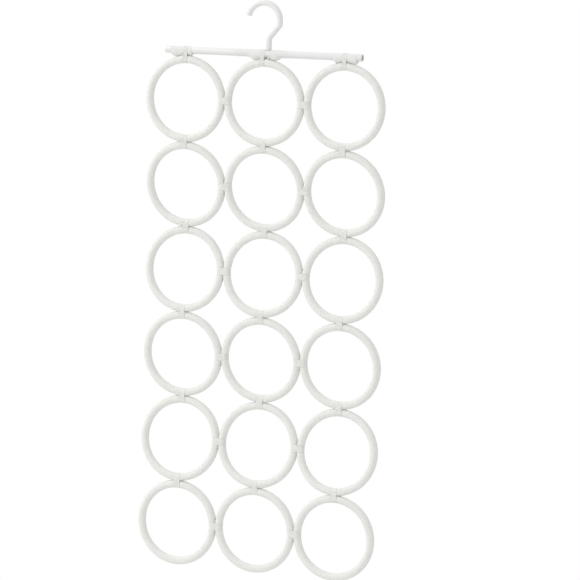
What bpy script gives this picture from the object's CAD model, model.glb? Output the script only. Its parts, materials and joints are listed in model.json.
"""Scarf hanger: a white steel hook and bar, with fabric-covered rings tied below it row by row.

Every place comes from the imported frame. Sizes in the dataclasses are in millimetres and become
metres where a mesh is made.
"""

import json
import logging
import math
import random
from dataclasses import dataclass
from enum import Enum
from functools import cached_property

import bpy
from mathutils import Matrix, Vector


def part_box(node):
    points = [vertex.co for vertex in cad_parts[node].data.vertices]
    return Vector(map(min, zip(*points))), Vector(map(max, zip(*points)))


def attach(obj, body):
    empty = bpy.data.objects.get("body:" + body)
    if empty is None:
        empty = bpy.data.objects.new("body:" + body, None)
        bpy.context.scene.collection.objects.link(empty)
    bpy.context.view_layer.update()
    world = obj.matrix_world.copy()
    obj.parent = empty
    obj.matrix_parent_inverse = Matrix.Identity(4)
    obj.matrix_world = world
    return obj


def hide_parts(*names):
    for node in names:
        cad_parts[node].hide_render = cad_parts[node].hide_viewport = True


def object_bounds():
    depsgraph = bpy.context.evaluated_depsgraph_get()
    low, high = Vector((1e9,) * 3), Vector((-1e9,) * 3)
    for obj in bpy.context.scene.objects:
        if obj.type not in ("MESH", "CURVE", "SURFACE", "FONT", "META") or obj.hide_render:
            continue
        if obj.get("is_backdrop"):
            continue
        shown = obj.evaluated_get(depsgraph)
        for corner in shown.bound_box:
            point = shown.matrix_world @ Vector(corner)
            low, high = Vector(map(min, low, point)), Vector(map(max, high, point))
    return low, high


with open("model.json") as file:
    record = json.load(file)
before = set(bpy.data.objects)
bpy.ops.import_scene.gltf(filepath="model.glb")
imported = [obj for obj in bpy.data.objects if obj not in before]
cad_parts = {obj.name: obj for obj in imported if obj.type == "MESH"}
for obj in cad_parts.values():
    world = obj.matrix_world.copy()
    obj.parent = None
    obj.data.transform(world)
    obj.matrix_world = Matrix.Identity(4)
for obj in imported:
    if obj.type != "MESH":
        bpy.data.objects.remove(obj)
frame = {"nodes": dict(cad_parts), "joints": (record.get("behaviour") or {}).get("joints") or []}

MM = 0.001
TURN = 2 * math.pi
ROWS = 6
COLUMNS = 3
MIDDLE_COLUMN = 2
RING_RADIUS = 46.0
SLING_REACH = 4.72
SLING_HALF = 3.1
MIDDLE_SLING_SHIFT = 2.5
ALONG = Vector((1, 0, 0))
FRONT = Vector((0, 0, 1))
WHITE = (1.0, 1.0, 1.0, 1.0)
MERGE_DISTANCE = 0.002

log = logging.getLogger("scarf_hanger")


class Side(Enum):
    """The side of a ring at which it is held, as an angle in the ring's own plane."""

    RIGHT = 0.0
    TOP = 90.0
    LEFT = 180.0
    BOTTOM = 270.0


class Slot(Enum):
    """The record's material slots that new pieces have."""

    FABRIC = "ring_fabric"
    THREAD = "thread"
    STEEL = "white_steel"


# Shader maths


class Field:
    """A socket of a shader tree that can be added and multiplied as a number can."""

    def __init__(self, tree: "NodeTree", socket: bpy.types.NodeSocket) -> None:
        """Keeps the tree and the socket.

        Args:
            tree: The tree that the socket is in.
            socket: The output that holds the value.
        """
        self.tree = tree
        self.socket = socket

    def maths(self, operation: str, *others: "Field | float") -> "Field":
        """Puts a Math node after this socket.

        Args:
            operation: The node's operation, in Blender's words.
            others: The second and third inputs.

        Returns:
            The node's output.
        """
        return self.tree.field("ShaderNodeMath", 0, dict(enumerate((self, *others))), operation=operation)

    def __add__(self, other: "Field | float") -> "Field":
        """Returns the sum."""
        return self.maths("ADD", other)

    def __radd__(self, other: float) -> "Field":
        """Returns the sum."""
        return self.maths("ADD", other)

    def __sub__(self, other: "Field | float") -> "Field":
        """Returns the difference."""
        return self.maths("SUBTRACT", other)

    def __rsub__(self, other: float) -> "Field":
        """Returns a number minus this value."""
        return (self * -1.0).maths("ADD", other)

    def __mul__(self, other: "Field | float") -> "Field":
        """Returns the product."""
        return self.maths("MULTIPLY", other)

    def __rmul__(self, other: float) -> "Field":
        """Returns the product."""
        return self.maths("MULTIPLY", other)

    def fraction(self) -> "Field":
        """Returns the part after the point."""
        return self.maths("FRACT")

    def absolute(self) -> "Field":
        """Returns the value without its sign."""
        return self.maths("ABSOLUTE")

    def wave(self) -> "Field":
        """Returns a wave from 0 to 1 that repeats at each whole number."""
        return (self * TURN).maths("SINE") * 0.5 + 0.5


Value = Field | float | Vector | tuple[float, ...]


class NodeTree:
    """A tree of shader nodes, with one method for nodes of any kind."""

    def __init__(self, owner: bpy.types.Material | bpy.types.World, output: str) -> None:
        """Empties the tree of a material or a world and adds its output node.

        Args:
            owner: The material or the world.
            output: The output node's type name.
        """
        owner.use_nodes = True
        self.tree = owner.node_tree
        self.tree.nodes.clear()
        self.output = self.add(output)

    def add(
        self, kind: str, sockets: dict[str | int, Value] | None = None,
        stops: tuple[tuple[float, ...], ...] = (), **settings: object,
    ) -> bpy.types.Node:
        """Adds a node.

        Args:
            kind: The node's type name.
            sockets: Values or links of its inputs, by name or number.
            stops: Red, green and blue of each stop, where it is a colour ramp.
            settings: Attributes of the node.

        Returns:
            The node.
        """
        node = self.tree.nodes.new(kind)
        for name, value in settings.items():
            setattr(node, name, value)
        for place, tone in enumerate(stops):
            node.color_ramp.elements[place].color = (*tone, 1.0)
        for place, value in (sockets or {}).items():
            self.join(value, node.inputs[place])
        return node

    def field(
        self, kind: str, output: str | int, sockets: dict[str | int, Value] | None = None, **settings: object
    ) -> Field:
        """Adds a node and takes one of its outputs.

        Args:
            kind: The node's type name.
            output: The output's name or number.
            sockets: Values or links of its inputs, by name or number.
            settings: Attributes of the node, and a colour ramp's stops.

        Returns:
            The output.
        """
        return Field(self, self.add(kind, sockets, **settings).outputs[output])

    def join(self, value: Value, socket: bpy.types.NodeSocket) -> None:
        """Links a field to an input, or sets the input to a value.

        Args:
            value: The field or the value.
            socket: The input.
        """
        if isinstance(value, Field):
            self.tree.links.new(value.socket, socket)
        else:
            socket.default_value = value

    def show(self, shader: Field) -> None:
        """Links a shader to the tree's output."""
        self.join(shader, self.output.inputs["Surface"])

    def seen(self) -> Field:
        """Returns 1 for a ray from the camera, a reflection or a transmission, and 0 for other light."""
        path = self.add("ShaderNodeLightPath")
        camera, glossy, through = (
            Field(self, path.outputs[f"Is {kind} Ray"]) for kind in ("Camera", "Glossy", "Transmission")
        )
        return (camera + glossy + through).maths("MINIMUM", 1.0)


class ShaderTree(NodeTree):
    """A material's nodes, with a Principled shader."""

    def __init__(self, name: str) -> None:
        """Makes an empty material with a Principled shader.

        Args:
            name: The material's name.
        """
        self.material = bpy.data.materials.new(name)
        super().__init__(self.material, "ShaderNodeOutputMaterial")
        self.shader = self.add("ShaderNodeBsdfPrincipled")
        self.show(self.surface())

    def surface(self) -> Field:
        """Returns the Principled shader's output."""
        return Field(self, self.shader.outputs[0])

    def set(self, **values: float) -> None:
        """Sets the Principled shader's own sockets, with _ in place of the spaces in their names."""
        for name, value in values.items():
            self.shader.inputs[name.replace("_", " ")].default_value = value

    def along_and_round(self) -> tuple[Field, Field]:
        """Returns the two coordinates of the piece's UV map."""
        spot = self.field("ShaderNodeUVMap", 0, uv_map="UVMap")
        split = self.add("ShaderNodeSeparateXYZ", {0: spot})
        return Field(self, split.outputs[0]), Field(self, split.outputs[1])

    def noise(self, size: float, detail: float = 2.0) -> Field:
        """Adds noise on the object's own coordinates.

        Args:
            size: The size of its blotches in millimetres.
            detail: Its octaves.

        Returns:
            Its value, about 0.5 on average.
        """
        spot = self.field("ShaderNodeTexCoord", "Object")
        sockets = {"Vector": spot, "Scale": 1 / (size * MM), "Detail": detail}
        return self.field("ShaderNodeTexNoise", 0, sockets)

    def colour(self, factor: Field, dark: tuple[float, ...], light: tuple[float, ...]) -> None:
        """Drives the base colour between two tones.

        Args:
            factor: 0 gives the dark tone, 1 the light one.
            dark: Red, green and blue of the dark tone.
            light: Red, green and blue of the light tone.
        """
        tone = self.field("ShaderNodeValToRGB", 0, {0: factor}, stops=(dark, light))
        self.join(tone, self.shader.inputs["Base Color"])

    def bump(self, height: Field, depth: float) -> None:
        """Raises the surface.

        Args:
            height: The relief, from 0 to 1.
            depth: The relief's full depth in millimetres.
        """
        sockets = {"Height": height, "Strength": 1.0, "Distance": depth * MM}
        self.join(self.field("ShaderNodeBump", 0, sockets), self.shader.inputs["Normal"])

    def roughness(self, value: Field) -> None:
        """Drives the roughness."""
        self.join(value, self.shader.inputs["Roughness"])


@dataclass(frozen=True)
class Knit:
    """Fine white jersey, with columns of small V stitches along the tube.

    slant is how far a stitch's legs lean, in stitches. fuzz and cloud are the sizes of its fine and its
    broad unevenness.
    """

    dark: tuple[float, float, float] = (0.69, 0.695, 0.66)
    light: tuple[float, float, float] = (0.83, 0.835, 0.80)
    stitch_length: float = 1.15
    stitch_width: float = 1.0
    slant: float = 1.6
    fuzz: float = 0.35
    cloud: float = 9.0
    relief: float = 0.16
    sheen: float = 0.25

    def material(self, length: float, girth: float) -> bpy.types.Material:
        """Makes the fabric for a tube whose UV map runs once along it and once round it.

        Args:
            length: The tube's length in millimetres.
            girth: The distance round it in millimetres.

        Returns:
            The material.
        """
        tree = ShaderTree("knit_fabric")
        along, around = tree.along_and_round()
        courses = round(length / self.stitch_length)
        wales = round(girth / self.stitch_width)
        from_middle = ((around * wales).fraction() - 0.5).absolute()
        across_leg = from_middle * 4.0 - 1.0
        legs = 1.0 - across_leg * across_leg
        loops = (along * courses + from_middle * self.slant).wave()
        height = legs * (loops * 0.55 + 0.45)
        fuzz = tree.noise(self.fuzz, 3.0)
        cloud = tree.noise(self.cloud)
        tree.colour(height * 0.45 + fuzz * 0.35 + cloud * 0.35, self.dark, self.light)
        tree.bump(height * 0.8 + fuzz * 0.2, self.relief)
        tree.roughness(fuzz * 0.12 + 0.82)
        tree.set(Sheen_Weight=self.sheen, Sheen_Roughness=0.5, Specular_IOR_Level=0.25)
        return tree.material


@dataclass(frozen=True)
class Thread:
    """White sewing thread, twisted from plies, with fine lint."""

    dark: tuple[float, float, float] = (0.77, 0.77, 0.74)
    light: tuple[float, float, float] = (0.86, 0.86, 0.83)
    twist: float = 0.9
    plies: int = 3
    lint: float = 0.2
    relief: float = 0.05

    def material(self, length: float) -> bpy.types.Material:
        """Makes the thread for a winding whose UV map runs once along it and once round it.

        Args:
            length: The winding's whole length in millimetres.

        Returns:
            The material.
        """
        tree = ShaderTree("sewing_thread")
        along, around = tree.along_and_round()
        plies = (along * round(length / self.twist) + around * self.plies).wave()
        lint = tree.noise(self.lint, 3.0)
        tree.colour(plies * 0.6 + lint * 0.4, self.dark, self.light)
        tree.bump(plies, self.relief)
        tree.roughness(lint * 0.15 + 0.5)
        tree.set(Sheen_Weight=0.15, Specular_IOR_Level=0.4)
        return tree.material


@dataclass(frozen=True)
class PowderCoat:
    """White powder coat on steel, with its fine orange peel."""

    dark: tuple[float, float, float] = (0.69, 0.69, 0.685)
    light: tuple[float, float, float] = (0.75, 0.755, 0.745)
    peel: float = 1.1
    cloud: float = 14.0
    grain: float = 0.18
    relief: float = 0.025

    def material(self) -> bpy.types.Material:
        """Returns the coat's material."""
        tree = ShaderTree("white_powder_coat")
        peel = tree.noise(self.peel, 1.0)
        cloud = tree.noise(self.cloud)
        grain = tree.noise(self.grain)
        tree.colour(cloud * 0.7 + grain * 0.3, self.dark, self.light)
        tree.bump(peel * 0.85 + grain * 0.15, self.relief)
        tree.roughness(grain * 0.1 + cloud * 0.1 + 0.28)
        tree.set(Coat_Weight=0.15, Coat_Roughness=0.2)
        return tree.material


@dataclass(frozen=True)
class MouldedPlastic:
    """Plain white plastic with a faint flow pattern."""

    dark: tuple[float, float, float] = (0.74, 0.74, 0.72)
    light: tuple[float, float, float] = (0.82, 0.82, 0.80)
    flow: float = 6.0
    skin: float = 0.5
    relief: float = 0.02

    def material(self) -> bpy.types.Material:
        """Returns the plastic's material."""
        tree = ShaderTree("moulded_plastic")
        flow = tree.noise(self.flow)
        skin = tree.noise(self.skin, 3.0)
        tree.colour(flow, self.dark, self.light)
        tree.bump(skin, self.relief)
        tree.roughness(skin * 0.15 + 0.4)
        return tree.material


# Modelling helpers


def alone() -> None:
    """Leaves edit mode and deselects every object."""
    if bpy.context.object and bpy.context.object.mode != "OBJECT":
        bpy.ops.object.mode_set(mode="OBJECT")
    bpy.ops.object.select_all(action="DESELECT")


def pick(piece: bpy.types.Object) -> None:
    """Selects one piece alone and makes it the active one.

    Args:
        piece: The object.
    """
    alone()
    piece.select_set(True)
    bpy.context.view_layer.objects.active = piece


def edit(select_all: bool = True) -> None:
    """Enters edit mode with everything or nothing selected."""
    bpy.ops.object.mode_set(mode="EDIT")
    bpy.ops.mesh.select_all(action="SELECT" if select_all else "DESELECT")


def settle(name: str) -> bpy.types.Object:
    """Ends the modelling of the active object: merges doubles, turns faces outwards, applies its place.

    Args:
        name: The object's name.

    Returns:
        The object.
    """
    if bpy.context.object.mode != "EDIT":
        edit()
    bpy.ops.mesh.select_all(action="SELECT")
    bpy.ops.mesh.remove_doubles(threshold=MERGE_DISTANCE * MM)
    bpy.ops.mesh.normals_make_consistent(inside=False)
    bpy.ops.object.mode_set(mode="OBJECT")
    bpy.ops.object.transform_apply(location=True, rotation=True, scale=True)
    made = bpy.context.object
    made.name = name
    return made


def modify(piece: bpy.types.Object, kind: str, **settings: object) -> None:
    """Adds a modifier to a piece and applies it.

    Args:
        piece: The object.
        kind: The modifier's type name.
        settings: Attributes of the modifier.
    """
    pick(piece)
    modifier = piece.modifiers.new(kind.lower(), kind)
    for name, value in settings.items():
        setattr(modifier, name, value)
    bpy.ops.object.modifier_apply(modifier=modifier.name)


def smooth(piece: bpy.types.Object, angle: float = 40.0) -> None:
    """Shades a piece smooth, except across edges sharper than the angle in degrees."""
    pick(piece)
    bpy.ops.object.shade_smooth_by_angle(angle=math.radians(angle))


def finish(piece: bpy.types.Object, slot: Slot, material: bpy.types.Material, body: str, *nodes: str) -> None:
    """Dresses a piece, puts it on its body and hides the CAD nodes that it stands for.

    Args:
        piece: The object.
        slot: The record's slot for its finish.
        material: Its material.
        body: The CAD body that it rides on.
        nodes: The CAD nodes that it replaces.
    """
    piece.data.materials.clear()
    piece.data.materials.append(material)
    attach(piece, body)
    if nodes:
        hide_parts(*nodes)
    log.info("%s: %d faces on %s", piece.name, len(piece.data.polygons), body)


def ease(share: float) -> float:
    """Returns a smooth step from 0 to 1 for a share that is held between 0 and 1."""
    held = min(1.0, max(0.0, share))
    return held * held * (3 - 2 * held)


@dataclass(frozen=True)
class Wave:
    """A sine wave along a piece."""

    height: float
    rate: float
    phase: float = 0.0

    def at(self, place: float) -> float:
        """Returns the wave's value at a place."""
        return self.height * math.sin(self.rate * place + self.phase)


# Places that the frame gives


@dataclass(frozen=True)
class RowPlace:
    """Where one row of rings hangs."""

    number: int
    top: Vector
    centre: Vector
    pitch: float

    @property
    def up(self) -> Vector:
        """The direction from the row's foot to its top."""
        return (self.top - self.centre).normalized()

    @property
    def bottom(self) -> Vector:
        """The middle ring's lowest point on its centre line."""
        return self.centre * 2 - self.top

    def lean_of(self, direction: Vector) -> float:
        """Returns how far a direction leans to the front of the row's own plane, in radians."""
        return math.atan2(direction.dot(ALONG.cross(self.up)), direction.dot(self.up))

    def shift(self, column: float) -> Vector:
        """Returns how far a column lies from the middle one. A half lies between two rings."""
        return ALONG * ((column - MIDDLE_COLUMN) * self.pitch)

    def frame_at(self, column: float) -> Matrix:
        """Returns the frame at the centre of a column's ring, in the row's own plane."""
        return frame_along(self.centre + self.shift(column), self.up)


@dataclass(frozen=True)
class BarPlace:
    """Where the bar lies and the hook's shank goes through it, in metres."""

    low: Vector
    high: Vector
    shank: float

    @property
    def radius(self) -> float:
        """The bar's outer radius."""
        return (self.high.z - self.low.z) / 2

    @property
    def axis(self) -> float:
        """The height of the bar's axis."""
        return (self.high.z + self.low.z) / 2


def frame_along(place: Vector, up: Vector) -> Matrix:
    """Returns the frame at a place: X along the rows, Y in the direction given as up, Z to the front."""
    return Matrix.Translation(place) @ Matrix((ALONG, up, ALONG.cross(up))).transposed().to_4x4()


def middle_of(node: str) -> Vector:
    """Returns the centre of a CAD node's box."""
    low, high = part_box(node)
    return (low + high) / 2


def joint_place(child: str) -> Vector:
    """Returns the place of the joint that carries a body."""
    found = next(joint for joint in frame["joints"] if joint["child"] == child)
    return Vector(found["pos_m"])


def row_place(number: int) -> RowPlace:
    """Reads a row's place from the frame.

    Args:
        number: The row, counted from the top.

    Returns:
        Its place.
    """
    centres = [middle_of(f"ring_core_{number}_{column}") for column in range(1, COLUMNS + 1)]
    pitch = (centres[-1].x - centres[0].x) / (COLUMNS - 1)
    return RowPlace(number, joint_place(f"row_{number}"), centres[MIDDLE_COLUMN - 1], pitch)


def bar_place() -> BarPlace:
    """Reads the bar's place from the frame."""
    low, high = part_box("bar")
    return BarPlace(low, high, joint_place("bar").x)


# Rings


@dataclass(frozen=True)
class Hold:
    """A place at which a ring is held by thread.

    lean turns the meeting plane about the row's long direction, in radians. reach is the distance from
    the ring's centre line to that plane. shift is how far the thread lies off the side's middle, along
    the ring. half is half the drawn-in length.
    """

    side: Side
    lean: float = 0.0
    reach: float = 4.2
    shift: float = 0.0
    half: float = 4.3


def holds_of(places: list[RowPlace], row: int, column: int) -> tuple[Hold, ...]:
    """Lists the places at which a ring is tied to its neighbours or hung from the bar.

    Args:
        places: The rows' places.
        row: The ring's row, counted from 1.
        column: The ring's column, counted from 1.

    Returns:
        The ring's holds.
    """
    place = places[row - 1]
    if row > 1:
        holds = [Hold(Side.TOP, lean=place.lean_of(places[row - 2].bottom - place.top))]
    else:
        shift = MIDDLE_SLING_SHIFT if column == MIDDLE_COLUMN else 0.0
        holds = [Hold(Side.TOP, reach=SLING_REACH, shift=shift, half=SLING_HALF)]
    if row < ROWS:
        holds.append(Hold(Side.BOTTOM, lean=place.lean_of(place.bottom - places[row].top)))
    if column < COLUMNS:
        holds.append(Hold(Side.RIGHT))
    if column > 1:
        holds.append(Hold(Side.LEFT))
    return tuple(holds)


@dataclass(frozen=True)
class RingCover:
    """The knitted cover of one ring, gathered on its inner side and drawn in by its ties.

    Under each thread it is drawn in by waist_depth. It is filled out flat against its neighbour for
    press_half each way along the ring, and up to press_height of the tube's radius above and below. Past
    these the filling fades, over press_fade along the ring. The gathers reach past the inner side by
    gather_spread, wander along the ring and come in groups.
    """

    radius: float = RING_RADIUS
    tube: float = 4.6
    steps_along: int = 480
    steps_round: int = 36
    waist_depth: float = 0.42
    waist_fade: float = 0.8
    press_half: float = 3.5
    press_fade: float = 5.0
    press_height: float = 0.6
    gather_depth: float = 0.09
    gather_spread: float = 0.2
    gathers: int = 96
    gather_wander: tuple[Wave, ...] = (Wave(1.4, 5, 0.6), Wave(0.9, 11))
    gather_groups: Wave = Wave(1.0, 17, 2.0)
    unevenness: float = 0.05
    swells: tuple[Wave, ...] = (Wave(1.0, 3, 0.4), Wave(0.6, 8, 1.9))

    def girth(self) -> float:
        """Returns the distance round the tube."""
        return TURN * self.tube

    def length(self) -> float:
        """Returns the distance along the ring."""
        return TURN * self.radius

    def waist(self) -> float:
        """Returns the tube's radius under a thread."""
        return self.tube - self.waist_depth

    def relief(self, turn: float, inner: float) -> float:
        """Height of the gathers and of the hand-made unevenness.

        Args:
            turn: Angle along the ring.
            inner: 1 on the ring's inner side, 0 elsewhere.

        Returns:
            The height in millimetres.
        """
        wander = sum(wave.at(turn) for wave in self.gather_wander)
        gather = math.sin(self.gathers * turn + wander) * self.gather_groups.at(turn)
        swell = sum(wave.at(turn) for wave in self.swells) / len(self.swells)
        return self.gather_depth * inner * gather + self.unevenness * swell

    def drawn_in(self, turn: float, holds: tuple[Hold, ...]) -> float:
        """Works out how far the threads draw the cover in.

        Args:
            turn: Angle along the ring.
            holds: The places at which the ring is held.

        Returns:
            The depth in millimetres.
        """
        depth = 0.0
        for hold in holds:
            away = abs(math.remainder(turn - math.radians(hold.side.value), TURN) * self.radius - hold.shift)
            share = ease((hold.half + self.waist_fade - away) / self.waist_fade)
            depth = max(depth, self.waist_depth * share)
        return depth

    def pressed(self, point: Vector, holds: tuple[Hold, ...]) -> Vector:
        """Moves a point of the cover to where it meets what the ring is held to.

        Args:
            point: The point in the ring's own frame, in millimetres.
            holds: The places at which the ring is held.

        Returns:
            The point, filled out or flattened at the meeting plane.
        """
        for hold in holds:
            turn = math.radians(hold.side.value)
            side = Vector((math.cos(turn), math.sin(turn), 0))
            towards = Matrix.Rotation(hold.lean, 3, "X") @ side
            along = side.cross(FRONT)
            place = point - side * self.radius
            reach = place.dot(towards)
            across = abs(place.dot(along))
            if reach < 0 or across > self.radius / 2:
                continue
            rise = abs(place.dot(along.cross(towards)))
            share = ease((self.press_half + self.press_fade - across) / self.press_fade)
            share *= ease((self.tube - rise) / (self.tube * (1 - self.press_height)))
            point = point + towards * (max(0.0, hold.reach - reach) * share)
            point = point - towards * max(0.0, reach - hold.reach)
        return point

    def model(self, name: str, holds: tuple[Hold, ...]) -> bpy.types.Object:
        """Models one cover at the origin, with its ring in the X-Y plane.

        Args:
            name: The object's name.
            holds: The places at which the ring is held.

        Returns:
            The cover.
        """
        alone()
        bpy.ops.mesh.primitive_torus_add(
            major_radius=self.radius * MM,
            minor_radius=self.tube * MM,
            major_segments=self.steps_along,
            minor_segments=self.steps_round,
            generate_uvs=True,
        )
        cover = bpy.context.object
        for vertex in cover.data.vertices:
            point = vertex.co / MM
            turn = math.atan2(point.y, point.x)
            core = Vector((math.cos(turn), math.sin(turn), 0)) * self.radius
            outwards = (point - core).normalized()
            inner = ease(self.gather_spread - outwards.dot(core.normalized()))
            thick = self.tube + self.relief(turn, inner) - self.drawn_in(turn, holds)
            vertex.co = self.pressed(core + outwards * thick, holds) * MM
        cover.name = name
        smooth(cover, 180.0)
        return cover

    def copy(self, master: bpy.types.Object, place: Matrix, name: str) -> bpy.types.Object:
        """Copies a cover into place with its own mesh.

        Args:
            master: The cover at the origin.
            place: The frame of the ring.
            name: The copy's name.

        Returns:
            The copy.
        """
        twin = master.copy()
        twin.data = master.data.copy()
        twin.data.transform(place)
        twin.name = name
        bpy.context.scene.collection.objects.link(twin)
        return twin


@dataclass
class RingSheet:
    """All the rings: their covers, and the cores inside them."""

    places: list[RowPlace]
    cover: RingCover

    @cached_property
    def fabric(self) -> bpy.types.Material:
        """The covers' material."""
        return Knit().material(self.cover.length(), self.cover.girth())

    @cached_property
    def plastic(self) -> bpy.types.Material:
        """The cores' material."""
        return MouldedPlastic().material()

    def build(self) -> None:
        """Models one cover of each kind and copies it to every ring of that kind."""
        masters: dict[tuple[Hold, ...], bpy.types.Object] = {}
        for place in self.places:
            for column in range(1, COLUMNS + 1):
                holds = holds_of(self.places, place.number, column)
                if holds not in masters:
                    masters[holds] = self.cover.model(f"cover_master_{len(masters)}", holds)
                self.place_ring(masters[holds], place, column)
        for master in masters.values():
            bpy.data.objects.remove(master)

    def place_ring(self, master: bpy.types.Object, place: RowPlace, column: int) -> None:
        """Puts one cover round its core.

        Args:
            master: The cover at the origin.
            place: The row's place.
            column: The ring's column.
        """
        label = f"{place.number}_{column}"
        body = f"row_{place.number}"
        cover = self.cover.copy(master, place.frame_at(column), f"knitted_cover_{label}")
        finish(cover, Slot.FABRIC, self.fabric, body, f"ring_cover_{label}")
        core = frame["nodes"][f"ring_core_{label}"]
        core.data.materials.clear()
        core.data.materials.append(self.plastic)


# Thread


@dataclass(frozen=True)
class Winding:
    """One thread wound round two tubes that lie side by side, with a knot at the back.

    turn_length is about the length of one turn, and sets the thread's twist. Each turn strays sideways by
    up to drift, and keeps drift_kept of what the turn before it strayed. knot_level is the knot's height,
    with 0 midway between the tubes and 1 at the foot of the winding. first_end and last_end are the
    thread's two short ends, from the knot's middle.
    """

    thread: float = 0.2
    turns: int = 21
    turn_length: float = 46.0
    half_width: float = 4.0
    steps: int = 44
    arc_steps: int = 24
    slack: float = 0.02
    drift: float = 0.12
    drift_kept: float = 0.6
    ring_radius: float = RING_RADIUS
    knot: float = 0.3
    knot_level: float = 0.0
    knot_steps: int = 40
    knot_gap: float = 0.03
    knot_side: float = 0.4
    knot_lift: float = 0.2
    first_end: tuple[tuple[float, ...], ...] = ((-1.9, 0.9, -0.2), (-1.3, 0.6, -0.15))
    last_end: tuple[tuple[float, ...], ...] = ((1.2, -0.8, -0.2), (1.9, -1.3, -0.3))
    seed: int = 7

    def length(self) -> float:
        """Returns the thread's whole length."""
        return self.turns * self.turn_length

    def belt(self, upper: float, lower: float, distance: float) -> list[tuple[float, ...]]:
        """Points of a belt round two circles, the upper one at the origin and the lower one below it.

        Args:
            upper: Radius of the upper circle.
            lower: Radius of the lower circle.
            distance: Distance between their centres.

        Returns:
            Points all round, evenly spaced.
        """
        lean = math.asin((upper - lower) / distance)
        upper_arc = (upper, 0.0, -lean, math.pi + 2 * lean)
        lower_arc = (lower, -distance, math.pi + lean, math.pi - 2 * lean)
        corners = []
        for radius, height, start, sweep in (upper_arc, lower_arc):
            for step in range(self.arc_steps + 1):
                angle = start + sweep * step / self.arc_steps
                corners.append((radius * math.cos(angle), radius * math.sin(angle) + height))
        corners.append(corners[0])
        lengths = [math.dist(a, b) for a, b in zip(corners, corners[1:])]
        whole = sum(lengths)
        points = []
        for step in range(self.steps):
            left = whole * step / self.steps
            place = 0
            while left > lengths[place]:
                left -= lengths[place]
                place += 1
            share = left / lengths[place]
            points.append(tuple(a + (b - a) * share for a, b in zip(corners[place], corners[place + 1])))
        return points

    def route(self, upper: float, lower: float, distance: float, both_curve: bool) -> list[Vector]:
        """The thread's way round the two tubes, in a frame with X along them and Y from lower to upper.

        Args:
            upper: Radius of the upper tube.
            lower: Radius of the lower tube.
            distance: Distance between the tubes' centre lines, with the origin midway.
            both_curve: True if both tubes are rings, which curve away from each other.

        Returns:
            The route's points.
        """
        chance = random.Random(self.seed)
        belt = self.belt(upper + self.thread, lower + self.thread, distance)
        points = []
        drift = 0.0
        for turn in range(self.turns):
            drift = self.drift_kept * drift + chance.uniform(-1, 1) * self.drift
            for step, (out, rise) in enumerate(belt):
                share = (turn + step / self.steps) / self.turns
                along = (2 * share - 1) * self.half_width + drift * math.sin(math.pi * step / self.steps)
                sag = along * along / (2 * self.ring_radius)
                if rise <= -distance / 2:
                    rise -= sag
                elif both_curve:
                    rise += sag
                points.append(Vector((along, rise + distance / 2, out * (1 + self.slack))))
        return points

    def wind(self, name: str, routes: list[list[Vector]], places: list[Matrix]) -> bpy.types.Object:
        """Makes the windings of one piece as thread.

        Args:
            name: The object's name.
            routes: A route for each winding, in its own frame.
            places: The frame of each winding.

        Returns:
            The piece.
        """
        curve = bpy.data.curves.new(name, "CURVE")
        curve.dimensions = "3D"
        curve.bevel_depth = self.thread * MM
        curve.bevel_resolution = 1
        curve.use_fill_caps = True
        for route, place in zip(routes, places):
            for points in (route, self.knot_route(route)):
                spline = curve.splines.new("POLY")
                spline.points.add(len(points) - 1)
                for spot, point in zip(spline.points, points):
                    spot.co = (*(place @ (point * MM)), 1.0)
        piece = bpy.data.objects.new(name, curve)
        bpy.context.scene.collection.objects.link(piece)
        pick(piece)
        bpy.ops.object.convert(target="MESH")
        made = bpy.context.object
        smooth(made, 60.0)
        return made

    def knot_route(self, route: list[Vector]) -> list[Vector]:
        """An overhand knot at the back of a winding, with its two short ends.

        Args:
            route: The winding that it ends.

        Returns:
            The knot's points.
        """
        back = min(point.z for point in route)
        low = min(point.y for point in route)
        centre = Vector((self.knot_side, low * self.knot_level, back - self.knot_lift))
        points = [centre + Vector(place) for place in self.first_end]
        for step in range(self.knot_steps):
            t = TURN * (self.knot_gap + (1 - 2 * self.knot_gap) * step / self.knot_steps)
            across = math.sin(t) + 2 * math.sin(2 * t)
            upward = math.cos(t) - 2 * math.cos(2 * t)
            points.append(centre + Vector((across, upward, -math.sin(3 * t))) * self.knot * 0.5)
        return points + [centre + Vector(place) for place in self.last_end]


@dataclass
class Ties:
    """The thread ties between rings, side by side and one above the other."""

    places: list[RowPlace]
    cover: RingCover
    winding: Winding

    @cached_property
    def material(self) -> bpy.types.Material:
        """The thread's material."""
        return Thread().material(self.winding.length())

    def build(self) -> None:
        """Winds the ties of every row."""
        tube = self.cover.waist()
        route = self.winding.route(tube, tube, 2 * Hold.reach, True)
        for place in self.places:
            self.side_ties(place, route)
        for above, below in zip(self.places, self.places[1:]):
            self.row_ties(above, below, route)

    def side_ties(self, place: RowPlace, route: list[Vector]) -> None:
        """Ties the rings of one row side by side.

        Args:
            place: The row's place.
            route: The thread's way.
        """
        turned = Matrix.Rotation(math.pi / 2, 4, "Z")
        frames = [place.frame_at(column + 0.5) @ turned for column in range(1, COLUMNS)]
        piece = self.winding.wind(f"side_thread_{place.number}", [route] * len(frames), frames)
        finish(piece, Slot.THREAD, self.material, f"row_{place.number}", f"side_ties_{place.number}")

    def row_ties(self, above: RowPlace, below: RowPlace, route: list[Vector]) -> None:
        """Ties a row to the row above it.

        Args:
            above: The upper row's place.
            below: The lower row's place.
            route: The thread's way.
        """
        middle = (above.bottom + below.top) / 2
        up = (above.bottom - below.top).normalized()
        frames = [frame_along(middle + above.shift(column), up) for column in range(1, COLUMNS + 1)]
        piece = self.winding.wind(f"row_thread_{below.number}", [route] * len(frames), frames)
        finish(piece, Slot.THREAD, self.material, f"ties_{below.number}", f"row_ties_{below.number}")


# Steel


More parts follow.
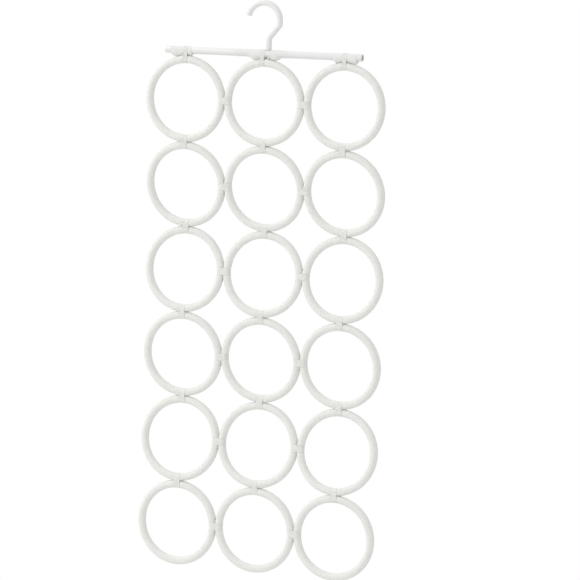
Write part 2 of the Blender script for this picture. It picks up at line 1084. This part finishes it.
@dataclass(frozen=True)
class Hook:
    """The bent wire, necked and riveted at its lower end.

    rivet lists the head's steps down, each with its share of the head's height and the share of its
    width that is left at the foot of the step.
    """

    wire: float = 3.5
    bow: float = 20.0
    bow_steps: int = 64
    tip_angle: float = 14.0
    leg: float = 2.2
    bend: float = 8.0
    bend_angle: float = 41.0
    bend_steps: int = 16
    pin: float = 2.4
    head: float = 2.75
    head_height: float = 1.6
    rivet: tuple[tuple[float, float], ...] = ((0.6, 1.0), (0.3, 0.82), (0.1, 0.6))
    gap: float = 0.3
    edge: float = 0.35
    sides: int = 40

    def model(self, place: BarPlace) -> bpy.types.Object:
        """Models the wire from its tip to its rivet head as one swept loop.

        Args:
            place: The bar's place.

        Returns:
            The hook.
        """
        alone()
        bow_height = self.wire - self.bow
        start = math.radians(180 - self.tip_angle)
        tip = Vector((math.cos(start), 0, math.sin(start))) * self.bow + Vector((0, 0, bow_height))
        bpy.ops.mesh.primitive_circle_add(
            vertices=self.sides, radius=self.wire * MM, fill_type="NOTHING", location=tip * MM,
            rotation=(0, math.pi - start, 0),
        )
        bpy.ops.object.transform_apply()
        edit()
        self.turn(Vector((0, 0, bow_height)), start, self.bow_steps)
        self.draw(Vector((0, 0, -self.leg)))
        bend_foot = self.bend_wire(bow_height - self.leg, place.shank / MM)
        self.neck(bend_foot, place)
        bpy.ops.mesh.select_all(action="SELECT")
        bpy.ops.mesh.fill_holes(sides=0)
        hook = settle("bent_wire_hook")
        modify(hook, "BEVEL", width=self.edge * MM, segments=3, angle_limit=math.radians(35))
        smooth(hook)
        return hook

    def bend_wire(self, upper: float, shank: float) -> float:
        """Sweeps the wire through its two bends, back over its shank.

        Args:
            upper: Height at which the first bend starts.
            shank: Place of the shank, sideways from the bow's centre.

        Returns:
            The height at which the second bend ends.
        """
        bend = math.radians(self.bend_angle)
        self.turn(Vector((self.bow - self.bend, 0, upper)), bend, self.bend_steps)
        across = self.bow - shank - 2 * self.bend * (1 - math.cos(bend))
        slant = across / math.sin(bend)
        self.draw(Vector((-across, 0, -slant * math.cos(bend))))
        lower = upper - 2 * self.bend * math.sin(bend) - slant * math.cos(bend)
        self.turn(Vector((shank + self.bend, 0, lower)), -bend, self.bend_steps)
        return lower

    def neck(self, upper: float, place: BarPlace) -> None:
        """Draws the shank down to the bar, its pin through the bar and the rivet head below.

        Args:
            upper: Height at which the shank starts.
            place: The bar's place.
        """
        shoulder = (place.axis + place.radius) / MM + self.gap
        head_top = (place.axis - place.radius) / MM - self.gap
        self.draw(Vector((0, 0, shoulder - upper)))
        self.widen(self.wire, self.pin)
        self.draw(Vector((0, 0, head_top - shoulder)))
        self.widen(self.pin, self.head)
        for height, width in self.rivet:
            self.draw(Vector((0, 0, -self.head_height * height)))
            bpy.ops.transform.resize(value=(width, width, 1.0))

    def turn(self, centre: Vector, angle: float, steps: int) -> None:
        """Sweeps the selected loop round a centre, clockwise in the X-Z plane as seen from the front.

        Args:
            centre: The centre in millimetres.
            angle: The angle in radians.
            steps: The number of steps.
        """
        bpy.ops.mesh.spin(steps=steps, angle=angle, center=centre * MM, axis=(0, -1, 0))

    def draw(self, move: Vector) -> None:
        """Extrudes the selected loop along a straight line, in millimetres."""
        bpy.ops.mesh.extrude_edges_move(TRANSFORM_OT_translate={"value": move * MM})

    def widen(self, now: float, then: float) -> None:
        """Extrudes the selected loop sideways from one radius to another."""
        bpy.ops.mesh.extrude_edges_move(TRANSFORM_OT_translate={"value": (0, 0, 0)})
        bpy.ops.transform.resize(value=(then / now, then / now, 1.0))


@dataclass(frozen=True)
class Bar:
    """The open steel tube."""

    wall: float = 0.9
    hole: float = 2.5
    edge: float = 0.22
    sides: int = 56

    def model(self, place: BarPlace) -> bpy.types.Object:
        """Models the tube with its two holes.

        Args:
            place: The bar's place.

        Returns:
            The bar.
        """
        alone()
        middle = (place.low + place.high) / 2
        bpy.ops.mesh.primitive_cylinder_add(
            vertices=self.sides, radius=place.radius, depth=place.high.x - place.low.x,
            end_fill_type="NOTHING", location=middle, rotation=(0, math.pi / 2, 0),
        )
        bar = settle("round_bar_tube")
        modify(bar, "SOLIDIFY", thickness=self.wall * MM, offset=-1)
        alone()
        bpy.ops.mesh.primitive_cylinder_add(
            vertices=self.sides, radius=self.hole * MM, depth=place.radius * 3,
            location=(place.shank, middle.y, middle.z),
        )
        drill = settle("drill")
        modify(bar, "BOOLEAN", operation="DIFFERENCE", object=drill, solver="EXACT")
        bpy.data.objects.remove(drill)
        modify(bar, "BEVEL", width=self.edge * MM, segments=3, angle_limit=math.radians(40))
        smooth(bar)
        return bar


# Bindings and slings on the bar


@dataclass(frozen=True)
class Strip:
    """Where a length of cloth lies along the bar, in metres.

    hems are the two ends of the whole strip, which the shank parts in the middle.
    """

    start: float
    end: float
    hems: tuple[float, float]


@dataclass(frozen=True)
class Binding:
    """A strip of the same jersey sewn tight round the bar, with its seam allowance sewn to a ring below.

    tops are the places of the rings' tops along the bar, and ring_reach is the rings' outer radius.
    The allowance follows the ring up to full from its top, and then tapers away. At a hem the cloth
    thins to hem_cloth and the allowance to hem_seam, as shares of what they are elsewhere.
    """

    tops: tuple[float, ...]
    ring_reach: float
    cloth: float = 0.16
    hem: float = 2.0
    hem_cloth: float = 0.3
    hem_seam: float = 0.5
    seam_drop: float = 1.85
    seam_angle: float = 56.0
    seam_ripple: float = 0.02
    full: float = 12.0
    taper: float = 10.0
    step: float = 0.6
    sides: int = 64
    seat: float = 0.01
    pucker: float = 0.05
    puckers: float = 2.1
    pucker_wander: Wave = Wave(0.7, 0.9)
    pucker_groups: Wave = Wave(1.0, 0.53, 1.0)

    def drop(self, place: float) -> float:
        """How far the seam allowance hangs below the bar's cloth.

        Args:
            place: Distance along the bar in millimetres.

        Returns:
            The drop in millimetres.
        """
        away = min(abs(place - top) for top in self.tops)
        share = ease((self.full + self.taper - away) / self.taper)
        return (self.seam_drop + away * away / (2 * self.ring_reach)) * share

    def outline(self, radius: float, angle: float, place: float, inset: float) -> float:
        """Distance of the cloth's outer face from the bar's axis.

        Args:
            radius: The bar's radius in millimetres.
            angle: Angle round the bar, with 0 at its lowest line.
            place: Distance along the bar in millimetres.
            inset: Distance from the nearer end of the cloth.

        Returns:
            The distance in millimetres.
        """
        away = math.degrees(abs(math.remainder(angle, TURN)))
        hem = ease(inset / self.hem)
        fall = math.exp(-((away / self.seam_angle) ** 2))
        seam = self.drop(place) * fall * (self.hem_seam + (1 - self.hem_seam) * hem)
        ripple = math.sin(self.puckers * place + self.pucker_wander.at(place)) * self.pucker_groups.at(place)
        cloth = self.cloth * (self.hem_cloth + (1 - self.hem_cloth) * hem)
        return radius + cloth + seam * (1 + self.seam_ripple * ripple) + self.pucker * ripple * hem

    def model(self, name: str, strip: Strip, bar: BarPlace) -> bpy.types.Object:
        """Models one length of cloth.

        Args:
            name: The object's name.
            strip: Where it lies along the bar.
            bar: The bar's place.

        Returns:
            The binding.
        """
        alone()
        length = strip.end - strip.start
        steps = round(length / MM / self.step)
        bpy.ops.mesh.primitive_cylinder_add(
            vertices=self.sides, radius=bar.radius, depth=length, end_fill_type="NOTHING", calc_uvs=True,
            location=((strip.start + strip.end) / 2, 0, bar.axis), rotation=(0, math.pi / 2, 0),
        )
        bpy.ops.object.transform_apply()
        cloth = bpy.context.object
        edit(False)
        for cut in range(1, steps):
            bpy.ops.mesh.select_all(action="SELECT")
            bpy.ops.mesh.bisect(plane_co=(strip.start + length * cut / steps, 0, 0), plane_no=(1, 0, 0))
        bpy.ops.object.mode_set(mode="OBJECT")
        for vertex in cloth.data.vertices:
            angle = self.angle_of(vertex.co, bar)
            inset = min(vertex.co.x - strip.hems[0], strip.hems[1] - vertex.co.x) / MM
            away = self.outline(bar.radius / MM, angle, vertex.co.x / MM, inset)
            self.lay(vertex, angle, away * MM, bar)
        self.unwrap(cloth, strip, bar)
        self.close(cloth, bar)
        smooth(cloth, 50.0)
        cloth.name = name
        return cloth

    def angle_of(self, spot: Vector, bar: BarPlace) -> float:
        """Returns a spot's angle round the bar, with 0 at its lowest line."""
        return math.atan2(spot.y, bar.axis - spot.z)

    def lay(self, vertex: bpy.types.MeshVertex, angle: float, away: float, bar: BarPlace) -> None:
        """Moves a vertex round the bar's axis.

        Args:
            vertex: The vertex.
            angle: Its angle round the bar.
            away: Its distance from the axis, in metres.
            bar: The bar's place.
        """
        vertex.co.y = math.sin(angle) * away
        vertex.co.z = bar.axis - math.cos(angle) * away

    def close(self, cloth: bpy.types.Object, bar: BarPlace) -> None:
        """Gives the cloth its inner face, which lies on the bar, and closes both ends.

        Args:
            cloth: The outer face.
            bar: The bar's place.
        """
        outer = len(cloth.data.vertices)
        edit(False)
        bpy.ops.mesh.select_non_manifold()
        bpy.ops.mesh.extrude_edges_indiv()
        bpy.ops.object.mode_set(mode="OBJECT")
        for vertex in cloth.data.vertices[outer:]:
            self.lay(vertex, self.angle_of(vertex.co, bar), bar.radius + self.seat * MM, bar)
        edit(False)
        bpy.ops.mesh.select_non_manifold()
        bpy.ops.mesh.bridge_edge_loops()
        bpy.ops.mesh.select_all(action="SELECT")
        bpy.ops.mesh.normals_make_consistent(inside=False)
        bpy.ops.object.mode_set(mode="OBJECT")

    def unwrap(self, cloth: bpy.types.Object, strip: Strip, bar: BarPlace) -> None:
        """Lays the UV map once along the cloth and once round it.

        Args:
            cloth: The cloth.
            strip: Where it lies along the bar.
            bar: The bar's place.
        """
        mesh = cloth.data
        layer = mesh.uv_layers.active.data
        for face in mesh.polygons:
            middle = self.angle_of(face.center, bar)
            for corner in face.loop_indices:
                spot = mesh.vertices[mesh.loops[corner].vertex_index].co
                angle = middle + math.remainder(self.angle_of(spot, bar) - middle, TURN)
                along = (spot.x - strip.start) / (strip.end - strip.start)
                layer[corner].uv = (along, angle / TURN + 0.5)


@dataclass
class BarDressing:
    """The hook, the bar with its bindings, and the slings that hold the top row.

    shank_gap is the distance from the shank's middle to the bindings beside it. Solids that are more than
    sling_apart from each other belong to two slings.
    """

    bar_place: BarPlace
    top_row: RowPlace
    cover: RingCover
    hook: Hook = Hook()
    bar: Bar = Bar()
    sling: Winding = Winding(
        thread=0.17, turns=16, turn_length=52.0, half_width=2.6, knot_level=0.7, seed=11
    )
    cloth_finish: Knit = Knit(dark=(0.665, 0.665, 0.65), light=(0.765, 0.765, 0.75), relief=0.1)
    shank_gap: float = 2.95
    sling_apart: float = 20.0

    def build(self) -> None:
        """Models the hook, the bar, the bindings and the slings."""
        steel = PowderCoat().material()
        finish(self.hook.model(self.bar_place), Slot.STEEL, steel, "hook", "hook")
        finish(self.bar.model(self.bar_place), Slot.STEEL, steel, "bar", "bar")
        self.bind()
        self.hang()

    def bind(self) -> None:
        """Sews the bindings round the bar, the middle one in two lengths beside the shank."""
        tops = tuple(self.top_row.frame_at(column).translation.x / MM for column in range(1, COLUMNS + 1))
        binding = Binding(tops, self.cover.radius + self.cover.tube)
        girth = TURN * (self.bar_place.radius / MM + binding.cloth)
        gap = self.shank_gap * MM
        lengths = (
            ("middle_left", "middle_binding", -math.inf, self.bar_place.shank - gap),
            ("middle_right", "middle_binding", self.bar_place.shank + gap, math.inf),
            ("left", "outer_binding_left", -math.inf, math.inf),
            ("right", "outer_binding_right", -math.inf, math.inf),
        )
        for name, node, first, last in lengths:
            low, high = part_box(node)
            strip = Strip(max(low.x, first), min(high.x, last), (low.x, high.x))
            cloth = binding.model(f"bar_binding_{name}", strip, self.bar_place)
            fabric = self.cloth_finish.material((strip.end - strip.start) / MM, girth)
            finish(cloth, Slot.FABRIC, fabric, "bar", node)

    def hang(self) -> None:
        """Winds the slings round the bar's bindings and the tops of the rings."""
        axis = self.bar_place.axis
        drop = axis - self.top_row.centre.z - self.cover.radius * MM
        upper = self.bar_place.radius / MM + Binding.cloth
        route = self.sling.route(upper, self.cover.waist(), drop / MM, False)
        upright = Matrix.Rotation(math.pi / 2, 4, "X")
        frames = [
            Matrix.Translation((place, 0, axis - drop / 2)) @ upright for place in self.sling_places()
        ]
        material = Thread().material(self.sling.length())
        piece = self.sling.wind("bar_sling_thread", [route] * len(frames), frames)
        finish(piece, Slot.THREAD, material, "bar", "slings")

    def sling_places(self) -> list[float]:
        """Finds the middle of each sling along the bar from the CAD solids.

        Returns:
            The places, in metres.
        """
        places = sorted(vertex.co.x for vertex in frame["nodes"]["slings"].data.vertices)
        groups = [[places[0]]]
        for place in places[1:]:
            if place - groups[-1][-1] > self.sling_apart * MM:
                groups.append([])
            groups[-1].append(place)
        return [(group[0] + group[-1]) / 2 for group in groups]


# Studio


@dataclass(frozen=True)
class Studio:
    """Camera, lights, floor and background.

    For the camera, near_white of the floor is plain white near the hanger, and more of it from fade_start
    times fade on, in metres, up to the whole.
    """

    azimuth: float = 23.49
    elevation: float = 6.71
    roll: float = 1.31
    distance: float = 4253.0
    target: tuple[float, float, float] = (40.26, 0.0, -327.1)
    focal_pixels: float = 3673.0
    picture_pixels: float = 580.0
    sensor: float = 36.0
    sight: float = 100.0
    floor_gap: float = 260.0
    floor_size: float = 14.0
    floor_dark: tuple[float, float, float] = (0.84, 0.84, 0.84)
    floor_light: tuple[float, float, float] = (0.86, 0.86, 0.86)
    near_white: float = 0.86
    fade: float = 1.0
    fade_start: float = 0.2
    light_side: tuple[float, float, float] = (-0.62, -0.25, 0.74)
    light_above: float = 1.26
    light_below: float = 0.5
    key_place: tuple[float, float, float] = (-2.0, -1.0, 1.6)
    key_size: float = 1.1
    key_power: float = 17.0

    def build(self) -> None:
        """Makes the whole studio."""
        self.camera()
        self.floor()
        self.world()
        self.key_light()

    def camera(self) -> None:
        """Puts the camera where the photograph was taken from."""
        azimuth, elevation = math.radians(self.azimuth), math.radians(self.elevation)
        level = math.cos(elevation)
        back = Vector((math.sin(azimuth) * level, -math.cos(azimuth) * level, math.sin(elevation)))
        level_right = Vector((math.cos(azimuth), math.sin(azimuth), 0))
        right = Matrix.Rotation(math.radians(self.roll), 3, back) @ level_right
        up = back.cross(right)
        data = bpy.data.cameras.new("camera")
        data.sensor_width = self.sensor
        data.lens = self.focal_pixels / self.picture_pixels * self.sensor
        data.clip_end = self.sight
        camera = bpy.data.objects.new("camera", data)
        bpy.context.scene.collection.objects.link(camera)
        place = (Vector(self.target) + back * self.distance) * MM
        camera.matrix_world = Matrix.Translation(place) @ Matrix((right, up, back)).transposed().to_4x4()
        bpy.context.scene.camera = camera

    def white_for_camera(self, tree: ShaderTree) -> None:
        """Mixes plain white into a material for what the camera and reflections see, more of it far off.

        Args:
            tree: The material's tree.
        """
        spot = tree.field("ShaderNodeTexCoord", "Object")
        away = tree.field("ShaderNodeVectorMath", "Value", {0: spot}, operation="LENGTH")
        far = (away * (1 / self.fade) - self.fade_start).maths("MAXIMUM", 0.0)
        share = (far * (1 - self.near_white) + self.near_white).maths("MINIMUM", 1.0)
        glow = tree.field("ShaderNodeEmission", 0, {"Color": WHITE})
        sockets = {0: tree.seen() * share, 1: tree.surface(), 2: glow}
        tree.show(tree.field("ShaderNodeMixShader", 0, sockets))

    def floor(self) -> None:
        """Lays a pale floor below the hanger."""
        low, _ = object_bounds()
        alone()
        height = low.z - self.floor_gap * MM
        bpy.ops.mesh.primitive_plane_add(size=self.floor_size, location=(0, 0, height))
        floor = bpy.context.object
        floor.name = "floor"
        tree = ShaderTree("pale_floor")
        grain = tree.noise(3.0)
        tree.colour(grain, self.floor_dark, self.floor_light)
        tree.set(Roughness=0.8, Specular_IOR_Level=0.1)
        self.white_for_camera(tree)
        floor.data.materials.append(tree.material)
        floor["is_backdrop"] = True

    def world(self) -> None:
        """Lights the object evenly from all round and shows white behind it."""
        world = bpy.data.worlds.new("studio")
        bpy.context.scene.world = world
        tree = NodeTree(world, "ShaderNodeOutputWorld")
        sky = tree.field("ShaderNodeTexCoord", "Generated")
        sockets = {0: sky, 1: Vector(self.light_side).normalized()}
        facing = tree.field("ShaderNodeVectorMath", "Value", sockets, operation="DOT_PRODUCT")
        tones = ((self.light_below,) * 3, (self.light_above,) * 3)
        share = facing.maths("MULTIPLY_ADD", 0.5, 0.5)
        tone = tree.field("ShaderNodeValToRGB", 0, {0: share}, stops=tones)
        light = tree.field("ShaderNodeBackground", 0, {"Color": tone, "Strength": 1.0})
        shown = tree.field("ShaderNodeBackground", 0, {"Color": WHITE})
        tree.show(tree.field("ShaderNodeMixShader", 0, {0: tree.seen(), 1: light, 2: shown}))

    def key_light(self) -> None:
        """Hangs a soft lamp that looks at the middle of the hanger."""
        data = bpy.data.lights.new("key", "AREA")
        data.shape = "DISK"
        data.size = self.key_size
        data.energy = self.key_power
        lamp = bpy.data.objects.new("key", data)
        bpy.context.scene.collection.objects.link(lamp)
        target = Vector(self.target) * MM
        lamp.location = target + Vector(self.key_place)
        lamp.rotation_mode = "QUATERNION"
        lamp.rotation_quaternion = (target - lamp.location).to_track_quat("-Z", "Y")


def main() -> None:
    """Builds the hanger and its studio."""
    logging.basicConfig(level=logging.INFO, format="%(name)s %(message)s")
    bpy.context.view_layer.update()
    places = [row_place(number) for number in range(1, ROWS + 1)]
    cover = RingCover()
    RingSheet(places, cover).build()
    Ties(places, cover, Winding()).build()
    BarDressing(bar_place(), places[0], cover).build()
    Studio().build()
    bpy.context.scene.view_settings.view_transform = "Standard"


if __name__ == "__main__":
    main()
